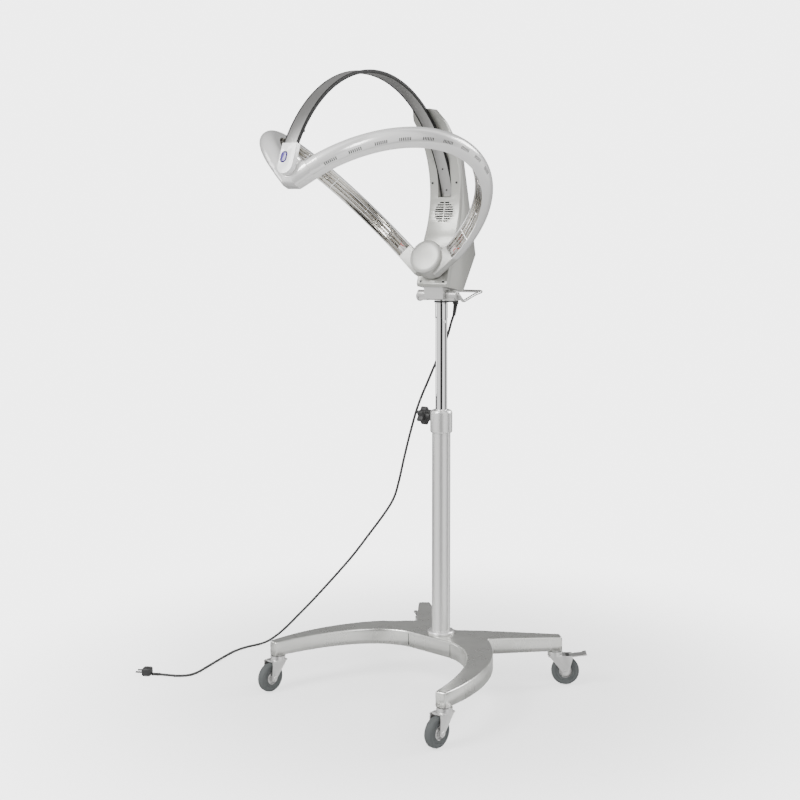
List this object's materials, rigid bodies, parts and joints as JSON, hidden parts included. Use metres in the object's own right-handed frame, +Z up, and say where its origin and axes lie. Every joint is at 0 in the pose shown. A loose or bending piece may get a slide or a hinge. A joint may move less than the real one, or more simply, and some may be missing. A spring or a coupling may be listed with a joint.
{
  "type": "orbiting-ring hair processor",
  "caption": "Floor-standing infrared hair processor: heater arms that orbit the head, on a tilting head unit, telescopic column and castered base.",
  "frame": {"origin": "on the floor under the column's axis", "axes": "+Z up, -Y towards the client's seat, +X to the client's right as they sit facing away from the column; the head unit is stored swivelled about +Z by 10 degrees, as pictured"},
  "size_m": [1.0037, 0.9651, 1.6249],
  "materials": {
    "cast_base": "satin brushed with bright rounded edges",
    "column_steel": "satin silver",
    "bright_chrome": "polished chrome",
    "zinc": "zinc plated",
    "satin_alloy": "satin",
    "wheel_rim": "satin silver",
    "grey_rubber": "matte grey",
    "black_plastic": "fine-grain black",
    "housing_silver": "semi-gloss silver lacquer",
    "band_grey": "satin grey",
    "white_plastic": "gloss white",
    "violet_glass": "gloss violet window",
    "gear_plastic": "natural",
    "board_green": "solder mask",
    "panel_grey": "satin",
    "hub_silver": "satin silver",
    "pearl_shell": "gloss pearl silver",
    "polished_reflector": "polished",
    "quartz": "clear quartz tube",
    "cord_black": "matte black"
  },
  "bodies": {
    "base": {"base_hub": "cast_base", "front_leg_left": "cast_base", "front_leg_right": "cast_base", "rear_leg_left": "cast_base", "rear_leg_right": "cast_base", "caster_stems": "zinc", "column_flange": "column_steel", "column_tube": "column_steel", "column_collar": "column_steel", "power_cord": "cord_black", "cord_plug": "cord_black"},
    "clamp_knob": {"star_knob": "black_plastic"},
    "fork_fl": {"fork_front_left": "zinc"},
    "fork_fr": {"fork_front_right": "zinc"},
    "fork_rl": {"fork_rear_left": "zinc"},
    "fork_rr": {"fork_rear_right": "zinc"},
    "wheel_fl": {"rim_front_left": "wheel_rim", "tyre_front_left": "grey_rubber"},
    "wheel_fr": {"rim_front_right": "wheel_rim", "tyre_front_right": "grey_rubber"},
    "wheel_rl": {"rim_rear_left": "wheel_rim", "tyre_rear_left": "grey_rubber"},
    "wheel_rr": {"rim_rear_right": "wheel_rim", "tyre_rear_right": "grey_rubber"},
    "pedal_rl": {"brake_pedal_left": "zinc"},
    "pedal_rr": {"brake_pedal_right": "zinc"},
    "mast": {"mast_tube": "bright_chrome", "mast_sleeve": "bright_chrome", "cord_outlet": "black_plastic"},
    "swivel_yoke": {"yoke": "satin_alloy", "tilt_shaft": "bright_chrome", "grab_handle": "bright_chrome"},
    "head": {"tilt_knuckle": "satin_alloy", "rear_shell": "housing_silver", "front_cover": "housing_silver", "cover_screws": "zinc", "overhead_band": "band_grey", "tip_cap": "white_plastic", "sensor_lens": "violet_glass", "fan_frame": "black_plastic", "drive_motor": "zinc", "circuit_board": "board_green", "control_panel": "panel_grey"},
    "fan": {"fan_rotor": "black_plastic"},
    "pinion": {"drive_pinion": "gear_plastic"},
    "ring": {"spin_gear": "gear_plastic", "hub_body": "hub_silver", "hub_cap": "hub_silver", "arm_shell_left": "pearl_shell", "arm_shell_right": "pearl_shell", "reflector_left": "polished_reflector", "reflector_right": "polished_reflector", "heater_left": "quartz", "heater_right": "quartz", "guard_wires": "bright_chrome", "ring_nose": "pearl_shell"},
    "rocker": {"power_switch": "black_plastic"},
    "start_key": {"button_start": "white_plastic"},
    "timer_key": {"button_timer": "white_plastic"}
  },
  "joints": [
    {"name": "column_slide", "type": "slide", "parent": "base", "child": "mast", "axis": [0, 0, 1], "range_m": [-0.22, 0.12], "deforming": ["power_cord"]},
    {"name": "knob_turn", "type": "hinge", "parent": "base", "child": "clamp_knob", "pos_m": [-0.04, 0, 0.728], "axis": [-1, 0, 0], "continuous": true},
    {"name": "head_swivel", "type": "hinge", "parent": "mast", "child": "swivel_yoke", "pos_m": [0, 0, 1.04], "axis": [0, 0, 1], "range_deg": [-60, 60]},
    {"name": "head_tilt", "type": "hinge", "parent": "swivel_yoke", "child": "head", "pos_m": [0.00322, -0.01771, 1.062], "axis": [0.9839, 0.1788, 0], "range_deg": [-12, 20]},
    {"name": "ring_spin", "type": "hinge", "parent": "head", "child": "ring", "pos_m": [0.06395, -0.3519, 1.26867], "axis": [-0.167, 0.9191, -0.3567], "continuous": true},
    {"name": "pinion_spin", "type": "hinge", "parent": "head", "child": "pinion", "pos_m": [-0.00407, 0.02237, 1.17158], "axis": [-0.167, 0.9191, -0.3567], "continuous": true},
    {"name": "fan_spin", "type": "hinge", "parent": "head", "child": "fan", "pos_m": [-0.00536, 0.02952, 1.284], "axis": [-0.1788, 0.9839, 0], "continuous": true},
    {"name": "switch_rock", "type": "hinge", "parent": "head", "child": "rocker", "pos_m": [-0.02225, 0.12245, 1.24832], "axis": [0.9839, 0.1788, 0], "range_deg": [0, 12]},
    {"name": "start_press", "type": "slide", "parent": "head", "child": "start_key", "axis": [0.1728, -0.951, -0.2563], "range_m": [0, 0.0015], "stiffness_N_per_m": 300, "springref_m": -0.001},
    {"name": "timer_press", "type": "slide", "parent": "head", "child": "timer_key", "axis": [0.1728, -0.951, -0.2563], "range_m": [0, 0.0015], "stiffness_N_per_m": 300, "springref_m": -0.001},
    {"name": "swivel_fl", "type": "hinge", "parent": "base", "child": "fork_fl", "pos_m": [-0.294, -0.332, 0.09], "axis": [0, 0, 1], "continuous": true},
    {"name": "roll_fl", "type": "hinge", "parent": "fork_fl", "child": "wheel_fl", "pos_m": [-0.294, -0.36, 0.038], "axis": [-1, 0, 0], "continuous": true},
    {"name": "swivel_rl", "type": "hinge", "parent": "base", "child": "fork_rl", "pos_m": [-0.237, 0.2, 0.09], "axis": [0, 0, 1], "continuous": true},
    {"name": "roll_rl", "type": "hinge", "parent": "fork_rl", "child": "wheel_rl", "pos_m": [-0.25845, 0.218, 0.038], "axis": [0.6428, 0.766, 0], "continuous": true},
    {"name": "brake_rl", "type": "hinge", "parent": "fork_rl", "child": "pedal_rl", "pos_m": [-0.26917, 0.227, 0.0785], "axis": [-0.6428, -0.766, 0], "range_deg": [0, 12]},
    {"name": "swivel_fr", "type": "hinge", "parent": "base", "child": "fork_fr", "pos_m": [0.294, -0.332, 0.09], "axis": [0, 0, 1], "continuous": true},
    {"name": "roll_fr", "type": "hinge", "parent": "fork_fr", "child": "wheel_fr", "pos_m": [0.294, -0.36, 0.038], "axis": [1, 0, 0], "continuous": true},
    {"name": "swivel_rr", "type": "hinge", "parent": "base", "child": "fork_rr", "pos_m": [0.237, 0.2, 0.09], "axis": [0, 0, 1], "continuous": true},
    {"name": "roll_rr", "type": "hinge", "parent": "fork_rr", "child": "wheel_rr", "pos_m": [0.25845, 0.218, 0.038], "axis": [-0.6428, 0.766, 0], "continuous": true},
    {"name": "brake_rr", "type": "hinge", "parent": "fork_rr", "child": "pedal_rr", "pos_m": [0.26917, 0.227, 0.0785], "axis": [-0.6428, 0.766, 0], "range_deg": [0, 12]}
  ],
  "couplings": [
    {"joint": "pinion_spin", "follows": "ring_spin", "ratio": -4}
  ]
}
